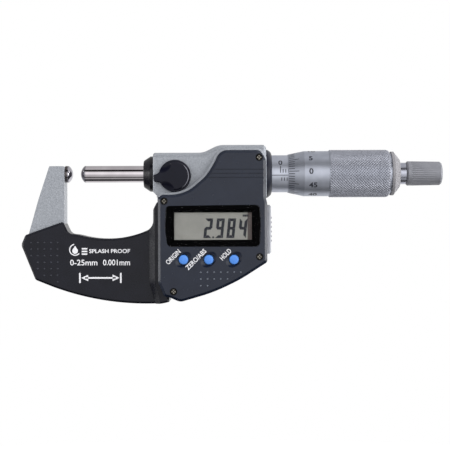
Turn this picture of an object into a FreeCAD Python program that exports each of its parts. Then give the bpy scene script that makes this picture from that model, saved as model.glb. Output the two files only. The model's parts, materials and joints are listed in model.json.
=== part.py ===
"""Digital outside micrometer, 0-25 mm, with ball-ended measuring faces.

X runs along the measuring axis from the fixed anvil to the thimble, +Z is up
and the readable front faces -Y. The origin is the anvil's contact point. The
spindle stands 2.984 mm open, the value its display shows.
"""
import math
import os

import FreeCAD
import Part

V = FreeCAD.Vector
X_AXIS = V(1, 0, 0)
Y_AXIS = V(0, 1, 0)

# Measuring head
READING = 2.984
STEM_R = 3.175
BALL_R = 4.0
CARBIDE_LEN = 2.0
ANVIL_SHANK_R = 2.5
ANVIL_DEPTH = 7.4
RUN_GAP = 0.02

# Cast frame
ARM_HALF = 4.3
ARM_FACE_X = -2.85
ARM_TOP = 2.9
BOSS_HALF = 7.6
BOSS_X = 30.9
BOSS_TOP = 7.8
HEAD_TOP = 10.7
HEAD_X = 73.4
HEAD_FRONT = -11.5
HEAD_REAR = 8.8
HEAD_BOTTOM = -9.4
SHOULDER = 0.9
THROAT_R = 39.0
THROAT_X = 13.5
THROAT_LOW = -24.6

# Grip covers
GRIP_FACE = 5.8
GRIP_WALL = 1.3
GRIP_BEVEL = 0.7
HEEL_R = 1.5
BELLY_R = 101.6
BELLY_X = 28.5
BELLY_LOW = -49.15
RIDGE_FACE = 8.6
RIDGE_X = 29.4

# Display housing
HOUSING_FACE = -13.0
HOUSING_SKIN = -10.8
HOUSING_LEFT = 33.0
HOUSING_RIGHT = 73.1
HOUSING_LOW_RIGHT = 73.6
HOUSING_TOP = 8.3
HOUSING_BEVEL = 0.95
WALL = 1.8
GASKET = 0.3
REAR_FACE = 10.4
SCREW_SITES = (
    # x, z and the depth at which the shank ends, either side of the mid-plane
    (35.3, -10.6, 2.4),
    (38.75, -44.2, 2.4),
    (70.65, 5.6, 5.9),
    (70.75, -31.3, 2.4),
)
GROOVES_Z = (1.1, -0.4, -1.9)

# Display and keys
WINDOW_FACE = -12.6
LCD_X = (39.0, 67.9)
LCD_Z = (-25.0, -14.8)
BOARD_FRONT = -7.4
BOARD_THICK = 1.0
BUTTON_X = (42.5, 51.87, 61.24)
BUTTON_Z = -32.3
BUTTON_R = 1.7
KEY_GAP = 0.35
DISH_CROSS_R = 4.3
DISH_LONG_R = 7.6
DISH_DEPTH = 0.8
BUTTON_NODES = ("button_left", "button_middle", "button_right")

# Battery, SR44 size
CELL_R = 5.8
CELL_THICK = 5.4
CELL_X = 59.0
CELL_Z = -24.0
CELL_BACK = 8.3

# Data port on the right-hand side
PORT_TOP = -11.9
PORT_BOTTOM = -30.4
PORT_FACE_X = 75.3

# Clamp lever
CLAMP_X = 39.2
CLAMP_Z = -1.1
CLAMP_R = 6.0
CLAMP_FACE = -10.8
CLAMP_STEP = 0.6
CLAMP_ANGLE = math.radians(187.0)
SCOOP_ANGLE = 50.0
SCOOP_OUT = 6.9
SCOOP_R = 6.3
SCOOP_DEPTH = 1.2

# Encoder chamber
CHAMBER_X = 57.2
CHAMBER_R = 7.4

# Sleeve, thimble and ratchet
SLEEVE_R = 7.06
INNER_R = 6.0
SLEEVE_END = 105.0
NUT_X = (92.0, 107.0)
THREAD_R = 3.5
THIMBLE_X = 81.78
CONE_X = 87.9
KNURL_X = (97.4, 120.0)
KNURL_R = 8.82
CAP_R = 8.35
CAP_X = 124.3
RATCHET_X = (126.85, 140.55)
FLUTES = 36


# ---- geometry helpers -------------------------------------------------------

def corner_arc(before, corner, after, radius):
    """Arc that rounds a corner, held to half of each neighbouring side."""
    to_before = (before - corner).normalize()
    to_after = (after - corner).normalize()
    half = to_before.getAngle(to_after) / 2
    longest = 0.499 * min((before - corner).Length, (after - corner).Length)
    reach = min(radius / math.tan(half), longest)
    bisector = (to_before + to_after).normalize()
    centre_distance = reach / math.cos(half)
    fitted = reach * math.tan(half)
    start = corner + to_before * reach
    middle = corner + bisector * (centre_distance - fitted)
    end = corner + to_after * reach
    return start, middle, end


def outline(corners):
    """Closed wire in the XZ plane from (x, z) or (x, z, corner radius)."""
    points = [V(c[0], 0, c[1]) for c in corners]
    radii = [c[2] if len(c) > 2 else 0 for c in corners]
    runs = []
    for i, point in enumerate(points):
        if radii[i] == 0:
            runs.append((point, None, point))
        else:
            after = points[(i + 1) % len(points)]
            runs.append(corner_arc(points[i - 1], point, after, radii[i]))
    edges = []
    for i, (start, middle, end) in enumerate(runs):
        if middle is not None:
            edges.append(Part.Arc(start, middle, end).toShape())
        following = runs[(i + 1) % len(runs)][0]
        edges.append(Part.LineSegment(end, following).toShape())
    return Part.Wire(edges)


def arc_corners(centre_x, low_z, radius, x_from, x_to, count):
    """Corners on an arc that hangs down to low_z under centre_x."""
    corners = []
    for i in range(count):
        x = x_from + (x_to - x_from) * i / (count - 1)
        drop = math.sqrt(radius ** 2 - (x - centre_x) ** 2)
        corners.append((x, low_z + radius - drop, radius))
    return corners


def slab(wire, y_from, y_to):
    """Solid plate of the wire's shape between two Y planes."""
    face = Part.Face(wire)
    face.translate(V(0, y_from, 0))
    return face.extrude(V(0, y_to - y_from, 0))


def offset(wire, distance):
    return wire.makeOffset2D(distance)


def box(x, y, z):
    """Box from three (low, high) pairs."""
    size = [pair[1] - pair[0] for pair in (x, y, z)]
    return Part.makeBox(*size, V(x[0], y[0], z[0]))


def rod_x(x_from, x_to, radius, y=0, z=0):
    return Part.makeCylinder(radius, x_to - x_from, V(x_from, y, z), X_AXIS)


def rod_y(x, z, radius, y_from, y_to):
    return Part.makeCylinder(radius, y_to - y_from, V(x, y_from, z), Y_AXIS)


def cone_y(x, z, radius_from, radius_to, y_from, y_to):
    return Part.makeCone(
        radius_from, radius_to, y_to - y_from, V(x, y_from, z), Y_AXIS)


def turned(profile):
    """Solid of revolution about the measuring axis from (x, radius) corners."""
    points = [V(x, 0, radius) for x, radius in profile]
    face = Part.Face(Part.makePolygon(points + points[:1]))
    return face.revolve(V(0, 0, 0), X_AXIS, 360)


def fuse(shapes):
    return shapes[0].multiFuse(shapes[1:]).removeSplitter()


def flat_edges(shape, y, keep=None):
    """Edges that lie wholly in the plane at y, optionally filtered."""
    found = []
    for edge in shape.Edges:
        bounds = edge.BoundBox
        in_plane = abs(bounds.YMin - y) < 1e-4 and abs(bounds.YMax - y) < 1e-4
        if in_plane and (keep is None or keep(bounds)):
            found.append(edge)
    return found


def end_edges(shape, x, above_z):
    """Edges in the plane at x that lie wholly above a height."""
    found = []
    for edge in shape.Edges:
        bounds = edge.BoundBox
        in_plane = abs(bounds.XMin - x) < 1e-4 and abs(bounds.XMax - x) < 1e-4
        if in_plane and bounds.ZMin > above_z:
            found.append(edge)
    return found


def bevelled(shape, y, size, keep=None):
    return shape.makeChamfer(size, flat_edges(shape, y, keep))


def rounded(shape, y, radius, keep=None):
    return shape.makeFillet(radius, flat_edges(shape, y, keep))


# ---- outlines ---------------------------------------------------------------

def throat_corners(inset, count):
    """The throat's floor from right to left, pushed into the metal by inset."""
    right_x = 31.0 + inset
    floor = arc_corners(
        THROAT_X, THROAT_LOW - inset, THROAT_R + inset, 26.0, 2.0, count)
    return [(right_x, -20.4 - inset, 4.5)] + floor + [(-1.0, -22.7 - inset, 4)]


def casting_outline():
    belly = arc_corners(
        BELLY_X, BELLY_LOW + GRIP_WALL, BELLY_R - GRIP_WALL, -12.4, 33.0, 6)
    corners = [
        (ARM_FACE_X, ARM_TOP, 0.4),
        (-8.5, ARM_TOP, 0.6),
        (-12.7, -10.0, 90),
        (-16.3, -22.9, 1),
        (-17.3, -27.0, 2),
    ]
    corners += belly
    corners += [
        (37.5, -45.6, 1),
        (41.0, -47.0, 2),
        (50.0, -44.6, 60),
        (61.5, -39.8, 60),
        (72.8, -32.9, 1),
        (72.8, 4.0),
        (32.4, 4.0),
        (32.4, -14.0, 3),
    ]
    corners += throat_corners(GRIP_WALL, 5)
    corners += [(ARM_FACE_X, -19.0, 0.5)]
    return outline(corners)


def boss_outline():
    """Upper part of the frame that carries the spindle and the sleeve."""
    return outline([
        (HEAD_X, HEAD_TOP),
        (55.6, HEAD_TOP, 8),
        (49.7, BOSS_TOP, 8),
        (BOSS_X, BOSS_TOP),
        (BOSS_X, -6.9),
        (32.9, -9.0),
        (HEAD_X, -9.0),
    ])


def housing_outline():
    return outline([
        (HOUSING_LEFT, -9.6, 1.1),
        (34.4, -8.25, 1.2),
        (40.2, -8.25, 12),
        (45.0, -6.4, 12),
        (51.0, -1.3, 14),
        (53.9, 3.4, 14),
        (56.2, HOUSING_TOP, 5),
        (71.0, HOUSING_TOP, 2.2),
        (HOUSING_RIGHT, 4.6, 2),
        (HOUSING_RIGHT, -9.7, 4),
        (HOUSING_LOW_RIGHT, -11.3, 4),
        (HOUSING_LOW_RIGHT, -33.3, 1.5),
        (63.5, -39.8, 60),
        (53.6, -44.5, 60),
        (41.2, -48.1, 3.5),
        (37.6, -46.5, 2),
        (35.3, -46.0, 1.3),
        (HOUSING_LEFT, -40.6, 4),
    ])


def grip_outline():
    belly = arc_corners(BELLY_X, BELLY_LOW, BELLY_R, -13.6, 34.0, 7)
    heel_x, heel_z, _ = belly[0]
    corners = [
        (-3.2, -18.1, 0.8),
        (-17.4, -23.1, 1.3),
        (-19.0, -26.8, 2.2),
        (heel_x, heel_z, HEEL_R),
    ]
    corners += belly[1:]
    corners += [
        (36.9, -48.3),
        (36.9, -10.8),
        (32.4, -10.8, 1),
        (31.0, -13.6, 2),
    ]
    corners += throat_corners(0, 7)
    return outline(corners)


def window_outline():
    return outline([
        (36.0, -12.4, 1.5),
        (70.8, -12.0, 1.7),
        (71.3, -19.8, 60),
        (70.8, -27.6, 1.7),
        (36.5, -27.6, 2),
        (35.4, -20.0, 60),
    ])


# ---- frame ------------------------------------------------------------------

def chamber():
    """Round space in the head for the encoder and the nut body's flange."""
    return rod_x(CHAMBER_X, HEAD_X + 1, CHAMBER_R)


def frame_casting():
    """U-shaped cast frame with the boss and the head block in one piece."""
    plate = slab(casting_outline(), -ARM_HALF, ARM_HALF)
    boss = slab(boss_outline(), -BOSS_HALF, BOSS_HALF)
    for side in (-BOSS_HALF, BOSS_HALF):
        boss = rounded(boss, side, 2.4, lambda b: b.ZMin > 6)
    for x, size in ((HEAD_X, 0.9), (BOSS_X, 0.5)):
        boss = boss.makeChamfer(size, end_edges(boss, x, 5))
    shoulder = offset(housing_outline(), SHOULDER)
    head = bevelled(slab(shoulder, HEAD_FRONT, HEAD_REAR), HEAD_FRONT, 0.8)
    head = head.common(box((30, HEAD_X), (-20, 20), (-9.0, HEAD_TOP)))
    body = fuse([plate, boss, head])
    pocket = slab(offset(housing_outline(), 0.05), HOUSING_FACE, HOUSING_SKIN)
    rear_gap = slab(offset(housing_outline(), 0.05), HEAD_REAR - 0.8, REAR_FACE)
    cuts = [
        pocket,
        rear_gap.common(box((30, 80), (0, 20), (-60, HEAD_TOP))),
        rod_x(-ANVIL_DEPTH, 0, ANVIL_SHANK_R),
        rod_x(BOSS_X - 1, 32.0, 5.4),
        rod_x(BOSS_X, 50.0, 5.0),
        rod_x(50.0, CHAMBER_X, 4.0),
        chamber(),
        box((58.9, 59.8), (-6.6, -3.4), (-12.9, -4.0)),
        rod_y(CLAMP_X, CLAMP_Z, 2.0, -BOSS_HALF - 1, -3.0),
        rod_y(CLAMP_X, CLAMP_Z, 3.0, -BOSS_HALF - 1, -BOSS_HALF + 1.1),
        rod_y(CELL_X, CELL_Z, 7.5, -10, 10),
        box((66.5, 74), (-2.9, 2.9), (-26.2, -16.2)),
    ]
    for x, z, depth in SCREW_SITES:
        cuts.append(rod_y(x, z, 0.8, HEAD_FRONT, -depth))
        cuts.append(rod_y(x, z, 0.8, depth, HEAD_REAR))
    for z in (PORT_TOP - 1.5, PORT_BOTTOM + 1.5):
        cuts.append(rod_x(69.0, 74.0, 0.6, 0, z))
    return body.cut(Part.makeCompound(cuts))


def anvil():
    shank = rod_x(-ANVIL_DEPTH, ARM_FACE_X, ANVIL_SHANK_R)
    head = rod_x(ARM_FACE_X, -CARBIDE_LEN, STEM_R)
    return fuse([shank, head])


def carbide_tip(apex_x, direction):
    """Ball-ended tip whose apex is at apex_x and whose body runs inwards."""
    back = apex_x + direction * CARBIDE_LEN
    low = min(apex_x, back)
    blank = rod_x(low, low + CARBIDE_LEN, STEM_R)
    ball = Part.makeSphere(BALL_R, V(apex_x + direction * BALL_R, 0, 0))
    return blank.common(ball)


def grip_shell(side, casting):
    """Moulded plate over one face of the grip; side is -1 front, +1 rear."""
    face = GRIP_FACE * side
    skin = slab(grip_outline(), min(0, face), max(0, face))
    skin = bevelled(skin, face, GRIP_BEVEL)
    ridge_corners = [
        (RIDGE_X, -10.0),
        (RIDGE_X, -41.0, 8),
        (32.0, -50.0),
        (38.0, -50.0),
        (38.0, -10.0),
    ]
    top = RIDGE_FACE * side
    ridge = slab(outline(ridge_corners), min(0, top), max(0, top))
    ridge = bevelled(ridge, top, 2.2, lambda b: b.XMax < 32.1)
    tall = slab(grip_outline(), min(0, top), max(0, top))
    tall = bevelled(tall, top, GRIP_BEVEL)
    cover = fuse([skin, ridge.common(tall)])
    housing = slab(housing_outline(), -20, 20)
    return cover.cut(housing).cut(casting)


# ---- display housing --------------------------------------------------------

def screw_posts(y_from, y_to):
    return [rod_y(x, z, 2.2, y_from, y_to) for x, z, _ in SCREW_SITES]


def key_dish(x):
    """Oval scoop round a key, longest along the upward diagonal."""
    lead = DISH_LONG_R - DISH_CROSS_R
    tip = math.sqrt(DISH_LONG_R ** 2 - lead ** 2)
    crown = Part.Arc(V(-tip, 0, 0), V(0, 0, DISH_CROSS_R), V(tip, 0, 0)).toShape()
    axis = Part.LineSegment(V(tip, 0, 0), V(-tip, 0, 0)).toShape()
    barrel = Part.Face(Part.Wire([crown, axis])).revolve(V(0, 0, 0), X_AXIS, 360)
    barrel.rotate(V(0, 0, 0), Y_AXIS, -45)
    barrel.translate(V(x, HOUSING_FACE + DISH_DEPTH - DISH_CROSS_R, BUTTON_Z))
    return barrel


def front_housing(casting):
    """Deep front shell with window seat, key dishes and screw recesses."""
    wire = housing_outline()
    back = -ARM_HALF - GASKET
    shell = bevelled(slab(wire, HOUSING_FACE, back), HOUSING_FACE, HOUSING_BEVEL)
    cavity = slab(offset(wire, -WALL), HOUSING_SKIN, back)
    posts = Part.makeCompound(screw_posts(HOUSING_SKIN, back))
    shell = shell.cut(cavity.cut(posts))
    cuts = [
        slab(window_outline(), HOUSING_FACE - 1, -11.8),
        box((37.4, 69.3), (-12, -9), (-26.6, -13.2)),
    ]
    for x in BUTTON_X:
        cuts.append(rod_y(x, BUTTON_Z, BUTTON_R + KEY_GAP, -14, -9))
        cuts.append(key_dish(x))
    for x, z, _ in SCREW_SITES:
        cuts.append(rod_y(x, z, 1.375, -14, -11.7))
        cuts.append(rod_y(x, z, 0.9, -14, back))
    for z in GROOVES_Z:
        cuts.append(box((50, 72.4), (-14, -12.78), (z - 0.14, z + 0.14)))
    cuts.append(chamber())
    return shell.cut(Part.makeCompound(cuts)).cut(casting)


def rear_housing(casting):
    """Shallow rear shell with the threaded seat for the battery cap."""
    wire = housing_outline()
    start = ARM_HALF + GASKET
    shell = bevelled(slab(wire, start, REAR_FACE), REAR_FACE, HOUSING_BEVEL)
    cavity = slab(offset(wire, -WALL), start, HEAD_REAR - 0.8)
    solid_parts = screw_posts(start, HEAD_REAR)
    solid_parts.append(rod_y(CELL_X, CELL_Z, 8.8, 6.6, HEAD_REAR))
    shell = shell.cut(cavity.cut(Part.makeCompound(solid_parts)))
    cuts = [
        rod_y(CELL_X, CELL_Z, 7.05, start, 12),
        rod_y(CELL_X, CELL_Z, 8.35, 9.55, 12),
    ]
    for x, z, _ in SCREW_SITES:
        cuts.append(rod_y(x, z, 1.375, 9.1, 12))
        cuts.append(rod_y(x, z, 0.9, start, 12))
    cuts.append(chamber())
    return shell.cut(Part.makeCompound(cuts)).cut(casting)


def cover_screws(side):
    """Four countersunk-recess screws; side is -1 front, +1 rear."""
    head_outer = 12.35 if side < 0 else 9.8
    head_inner = 11.7 if side < 0 else 9.1
    solids = []
    for x, z, depth in SCREW_SITES:
        low, high = sorted((side * head_inner, side * head_outer))
        head = rod_y(x, z, 1.2, low, high)
        low, high = sorted((side * depth, side * head_inner))
        shank = rod_y(x, z, 0.8, low, high)
        screw = fuse([head, shank])
        low, high = sorted((side * (head_outer - 0.45), side * (head_outer + 1)))
        for turn in (45, 135):
            slot = box((-0.8, 0.8), (low, high), (-0.17, 0.17))
            slot.rotate(V(0, 0, 0), Y_AXIS, turn)
            slot.translate(V(x, 0, z))
            screw = screw.cut(slot)
        solids.append(screw)
    return Part.makeCompound(solids)


def gasket(side, casting):
    """Rubber seal between the frame's plate and one housing shell."""
    low, high = sorted((side * ARM_HALF, side * (ARM_HALF + GASKET)))
    wire = housing_outline()
    ring = slab(offset(wire, -0.2), low, high)
    ring = ring.cut(slab(offset(wire, -WALL), low, high))
    under_block = box((30, 80), (low - 1, high + 1), (HEAD_BOTTOM, 20))
    holes = [rod_y(x, z, 0.9, low, high) for x, z, _ in SCREW_SITES]
    return ring.cut(under_block).cut(Part.makeCompound(holes)).cut(casting)


def display_window():
    """Glued lens plate in its seat."""
    plate = slab(offset(window_outline(), -0.05), WINDOW_FACE, -11.8)
    return bevelled(plate, WINDOW_FACE, 0.15)


def display_mask():
    """Black printed frame behind the lens, open over the digits."""
    sheet = box((37.5, 69.2), (-11.8, -11.4), (-26.5, -13.3))
    return sheet.cut(box(LCD_X, (-12, -11), LCD_Z))


def lcd_panel():
    return box((37.8, 68.9), (-11.4, -9.8), (-26.1, -13.7))


def lcd_connectors():
    """Two conductive rubber strips between the board and the glass."""
    span = (38.6, 68.1)
    depth = (-9.8, BOARD_FRONT)
    upper = box(span, depth, (-15.3, -13.9))
    lower = box(span, depth, (-25.9, -24.5))
    return Part.makeCompound([upper, lower])


def circuit_board():
    return slab(outline([
        (35.4, -13.2, 1),
        (70.9, -13.2, 1),
        (70.9, -27.4, 2),
        (66.0, -32.2, 2),
        (60.0, -37.6, 3),
        (44.0, -42.0, 2),
        (42.0, -40.0, 2),
        (36.0, -36.0, 2),
    ]), BOARD_FRONT, BOARD_FRONT + BOARD_THICK)


def board_components():
    """Chips, crystal can and capacitors on the board's rear face."""
    back = BOARD_FRONT + BOARD_THICK
    solids = [
        box((40.0, 48.0), (back, back + 1.1), (-22.0, -14.5)),
        box((40.5, 44.5), (back, back + 0.9), (-29.0, -25.0)),
        rod_x(46.5, 51.0, 0.8, back + 0.8, -27.0),
    ]
    for i in range(5):
        x = 40.0 + 2.2 * i
        solids.append(box((x, x + 1.2), (back, back + 0.6), (-33.0, -31.0)))
    return Part.makeCompound(solids)


def keypad_rubber():
    """Rubber sheet with one dome under each button."""
    sheet = box((38.5, 65.2), (-8.3, -7.9), (-35.0, -29.6))
    domes = [cone_y(x, BUTTON_Z, 1.5, 2.2, -9.0, -8.3) for x in BUTTON_X]
    return fuse([sheet] + domes)


def key_contacts():
    pads = [
        rod_y(x, BUTTON_Z, 1.6, -7.9, BOARD_FRONT) for x in BUTTON_X]
    return Part.makeCompound(pads)


def button(x):
    """Round key with a domed top and a retaining flange."""
    stem = rod_y(x, BUTTON_Z, BUTTON_R, -12.85, -9.7)
    dome = Part.makeSphere(6.0, V(x, -12.85 + 5.75, BUTTON_Z))
    cap = rod_y(x, BUTTON_Z, BUTTON_R, -13.2, -12.85).common(dome)
    flange = rod_y(x, BUTTON_Z, 2.4, -10.4, -9.7)
    return fuse([stem, cap, flange])


# ---- battery and data port --------------------------------------------------

def battery_cell():
    front = CELL_BACK - CELL_THICK
    can = rod_y(CELL_X, CELL_Z, CELL_R, front + 0.6, CELL_BACK)
    lid = rod_y(CELL_X, CELL_Z, CELL_R - 1.2, front, front + 0.6)
    return fuse([can, lid])


def battery_holder():
    """Plastic cup through the frame's plate, with notches for the contacts."""
    cup = rod_y(CELL_X, CELL_Z, 7.5, -4.0, 6.4)
    hollow = rod_y(CELL_X, CELL_Z, CELL_R + 0.1, 1.2, 6.4)
    pin_hole = rod_y(CELL_X, CELL_Z, 0.65, -4.0, 1.2)
    notch = box(
        (CELL_X + 5.85, CELL_X + 6.2), (-4.0, 6.4), (CELL_Z - 1.3, CELL_Z + 1.3))
    return cup.cut(Part.makeCompound([hollow, pin_hole, notch]))


def battery_contact_minus():
    """Spring cup on a pin that reaches the board."""
    pin = rod_y(CELL_X, CELL_Z, 0.6, BOARD_FRONT + BOARD_THICK, 1.4)
    base = rod_y(CELL_X, CELL_Z, 2.6, 1.2, 1.5)
    spring = cone_y(CELL_X, CELL_Z, 2.2, 1.2, 1.5, 2.9)
    return fuse([pin, base, spring])


def battery_contact_plus():
    """Side leaf that presses on the cell's can."""
    return box(
        (CELL_X + 5.86, CELL_X + 6.16),
        (BOARD_FRONT + BOARD_THICK, 6.2),
        (CELL_Z - 1.2, CELL_Z + 1.2))


def battery_cap():
    """Screw cap with a coin slot."""
    flange = rod_y(CELL_X, CELL_Z, 8.2, 10.15, 11.0)
    flange = bevelled(flange, 11.0, 0.25)
    plug = rod_y(CELL_X, CELL_Z, 6.97, 8.45, 10.15)
    slot = box(
        (CELL_X - 5.5, CELL_X + 5.5), (10.3, 12), (CELL_Z - 0.8, CELL_Z + 0.8))
    return fuse([flange, plug]).cut(slot)


def battery_cap_seal():
    return Part.makeTorus(7.5, 0.28, V(CELL_X, 9.84, CELL_Z), Y_AXIS)


def port_cover():
    """Ribbed cover plate over the data socket."""
    plate = box((72.8, PORT_FACE_X), (-3.9, 3.9), (PORT_BOTTOM, PORT_TOP))
    ends = [e for e in plate.Edges
            if abs(e.BoundBox.XMin - PORT_FACE_X) < 1e-4]
    plate = plate.makeChamfer(0.5, ends)
    ribs = []
    for i in range(6):
        z = -16.8 - 1.74 * i
        ribs.append(rod_y(PORT_FACE_X - 0.1, z, 0.45, -3.2, 3.2))
    plate = fuse([plate] + ribs)
    cuts = []
    for z in (PORT_TOP - 1.5, PORT_BOTTOM + 1.5):
        cuts.append(rod_x(70, 80, 0.65, 0, z))
        cuts.append(rod_x(74.4, 80, 1.1, 0, z))
    return plate.cut(Part.makeCompound(cuts))


def port_cover_screws():
    screws = []
    for z in (PORT_TOP - 1.5, PORT_BOTTOM + 1.5):
        head = rod_x(74.4, 75.2, 1.05, 0, z)
        shank = rod_x(69.5, 74.4, 0.6, 0, z)
        slot = box((74.8, 76), (-1.2, 1.2), (z - 0.18, z + 0.18))
        screws.append(fuse([head, shank]).cut(slot))
    return Part.makeCompound(screws)


def data_port():
    """Socket body in the frame's side pocket."""
    body = box((67.0, 72.2), (-2.7, 2.7), (-25.9, -16.5))
    body = body.cut(box((69.0, 73), (-1.5, 1.5), (-24.9, -17.5)))
    pins = [rod_x(67.0, 69.0, 0.26, y, z) for y, z in port_pin_sites()]
    return body.cut(Part.makeCompound(pins))


def port_pin_sites():
    return [(y, -18.3 - 1.45 * i) for i in range(5) for y in (-0.7, 0.7)]


def port_pins():
    pins = [rod_x(67.2, 71.4, 0.25, y, z) for y, z in port_pin_sites()]
    return Part.makeCompound(pins)


# ---- spindle guide and clamp ------------------------------------------------

def spindle_bush():
    """Lapped guide bush with a side window for the clamp shoe."""
    tube = turned([
        (32.0, STEM_R + RUN_GAP),
        (32.0, 5.0),
        (50.0, 5.0),
        (50.0, STEM_R + RUN_GAP),
    ])
    return tube.cut(rod_y(CLAMP_X, CLAMP_Z, 1.95, -6, 0))


def spindle_seal_cap():
    """Black cone-shaped cap that carries the wiper."""
    return turned([
        (27.1, 3.5),
        (27.1, 5.0),
        (27.4, 5.3),
        (29.6, 6.74),
        (BOSS_X, 6.74),
        (BOSS_X, 5.4),
        (31.9, 5.4),
        (31.9, 4.6),
        (28.4, 4.6),
        (28.4, 3.5),
    ])


def wiper_seal():
    return turned([
        (28.45, STEM_R + 0.015),
        (28.45, 4.55),
        (31.2, 4.55),
        (31.2, 4.0),
        (29.2, 3.6),
        (29.2, STEM_R + 0.015),
    ])


def clamp_knob():
    """Round clamp knob with a pointed lever and two finger scoops."""
    back = -BOSS_HALF - 0.15
    ledge = CLAMP_FACE + CLAMP_STEP
    disc = bevelled(rod_y(CLAMP_X, CLAMP_Z, CLAMP_R, ledge, back), ledge, 0.25)
    crown = cone_y(
        CLAMP_X, CLAMP_Z, CLAMP_R - 1.1, CLAMP_R - 0.6, CLAMP_FACE, ledge)
    lever = slab(outline([
        (0, 3.4),
        (4.6, 3.4),
        (6.1, 1.5, 2.4),
        (8.0, 1.3, 0.6),
        (8.0, -1.3, 0.6),
        (6.1, -1.5, 2.4),
        (4.6, -3.4),
        (0, -3.4),
    ]), CLAMP_FACE, back)
    lever = bevelled(lever, CLAMP_FACE, 0.3)
    lever.rotate(V(0, 0, 0), Y_AXIS, -math.degrees(CLAMP_ANGLE))
    lever.translate(V(CLAMP_X, 0, CLAMP_Z))
    knob = fuse([disc, crown, lever])
    cuts = [rod_y(CLAMP_X, CLAMP_Z, 1.5, back - 1.6, back)]
    for side in (-1, 1):
        angle = CLAMP_ANGLE + side * math.radians(SCOOP_ANGLE)
        x = CLAMP_X + SCOOP_OUT * math.cos(angle)
        z = CLAMP_Z + SCOOP_OUT * math.sin(angle)
        height = SCOOP_R - SCOOP_DEPTH
        cuts.append(Part.makeSphere(SCOOP_R, V(x, CLAMP_FACE - height, z)))
    return knob.cut(Part.makeCompound(cuts))


def clamp_stem():
    """Turned stem from the knob down to the shoe."""
    back = -BOSS_HALF - 0.15
    upper = rod_y(CLAMP_X, CLAMP_Z, 1.5, back - 1.6, back)
    lower = rod_y(CLAMP_X, CLAMP_Z, 1.93, back, -4.95)
    return fuse([upper, lower])


def clamp_shoe():
    """Brass shoe hollowed to the spindle's curve."""
    plug = rod_y(CLAMP_X, CLAMP_Z, 1.9, -4.9, -1.0)
    return plug.cut(rod_x(CLAMP_X - 3, CLAMP_X + 3, STEM_R + 0.03))


def clamp_seal():
    return Part.makeTorus(2.48, 0.45, V(CLAMP_X, -7.0, CLAMP_Z), Y_AXIS)


# ---- rotary encoder ---------------------------------------------------------

def encoder_stator():
    return turned([
        (57.3, 4.2),
        (57.3, CHAMBER_R - 0.02),
        (59.2, CHAMBER_R - 0.02),
        (59.2, 4.2),
    ])


def encoder_flex():
    """Flat lead from the stator to the board."""
    return box((59.2, 59.4), (-6.38, -3.6), (-12.8, -4.2))


def encoder_rotor():
    """Disc and hub that turn with the spindle but stay in place."""
    wheel = turned([
        (60.0, STEM_R + 0.04),
        (60.0, 6.9),
        (61.6, 6.9),
        (61.6, 4.4),
        (65.0, 4.4),
        (65.0, STEM_R + 0.04),
    ])
    return wheel.cut(box((60.5, 64.5), (-0.45, 0.45), (2, 4.0)))


def rotor_key():
    return box((60.5, 64.5), (-0.45, 0.45), (2.55, 4.0))


def rotor_bearing():
    return turned([
        (61.9, 4.44),
        (61.9, CHAMBER_R - 0.02),
        (65.3, CHAMBER_R - 0.02),
        (65.3, 4.44),
    ])


# ---- sleeve -----------------------------------------------------------------

def inner_sleeve():
    """Hardened nut body that the spindle's thread runs in."""
    return turned([
        (65.4, 4.6),
        (65.4, CHAMBER_R - 0.01),
        (HEAD_X, CHAMBER_R - 0.01),
        (HEAD_X, INNER_R),
        (105.2, INNER_R),
        (105.2, 5.2),
        (109.0, 5.2),
        (109.0, THREAD_R + 0.4),
        (NUT_X[1], THREAD_R + 0.05),
        (NUT_X[0], THREAD_R + 0.05),
        (NUT_X[0] - 0.6, 4.6),
    ])


def outer_sleeve():
    """Graduated sleeve that covers the nut body."""
    return turned([
        (HEAD_X, INNER_R + 0.02),
        (HEAD_X, SLEEVE_R),
        (SLEEVE_END - 0.3, SLEEVE_R),
        (SLEEVE_END, SLEEVE_R - 0.3),
        (SLEEVE_END, INNER_R + 0.02),
    ])


def sleeve_collar():
    """Domed ring at the root of the sleeve."""
    return turned([
        (HEAD_X, SLEEVE_R + 0.01),
        (HEAD_X, 9.3),
        (74.2, 9.05),
        (74.9, 8.55),
        (75.4, 8.0),
        (75.65, 7.2),
        (75.65, SLEEVE_R + 0.01),
    ])


def adjusting_nut():
    return turned([
        (105.3, 5.22),
        (105.3, 6.8),
        (108.6, 6.8),
        (108.9, 6.5),
        (108.9, 5.22),
    ])


# ---- spindle, thimble and ratchet -------------------------------------------

def spindle():
    """Ground stem, keyway, thread and seat, in one shaft."""
    start = READING + CARBIDE_LEN
    shaft = turned([
        (start, 0),
        (start, STEM_R),
        (67.5, STEM_R),
        (67.5, 2.9),
        (68.5, 2.9),
        (69.0, THREAD_R),
        (110.0, THREAD_R),
        (110.5, 3.0),
        (121.0, 3.0),
        (121.0, 0),
    ])
    keyway = box((37.8, 68.0), (-0.5, 0.5), (STEM_R - 0.8, 5))
    stem_hole = rod_x(116.0, 122.0, 1.6)
    return shaft.cut(keyway).cut(stem_hole)


def thimble():
    """Hollow barrel with a graduated cone and a grip band."""
    bore_r = SLEEVE_R + 0.07
    return turned([
        (THIMBLE_X, bore_r),
        (THIMBLE_X, 7.25),
        (CONE_X, 8.6),
        (KNURL_X[0] - 0.2, 8.62),
        (KNURL_X[0] + 0.1, KNURL_R),
        (KNURL_X[1] - 0.7, KNURL_R),
        (KNURL_X[1] + 0.2, 8.3),
        (KNURL_X[1] + 0.2, 7.7),
        (120.9, 7.7),
        (120.9, 3.02),
        (113.2, 3.02),
        (113.2, bore_r),
    ])


def thimble_end_cap():
    return turned([
        (120.95, 3.1),
        (120.95, 7.6),
        (121.0, CAP_R),
        (122.0, CAP_R),
        (CAP_X, 5.5),
        (CAP_X, 1.62),
        (121.1, 1.62),
        (121.1, 3.1),
    ])


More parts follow.
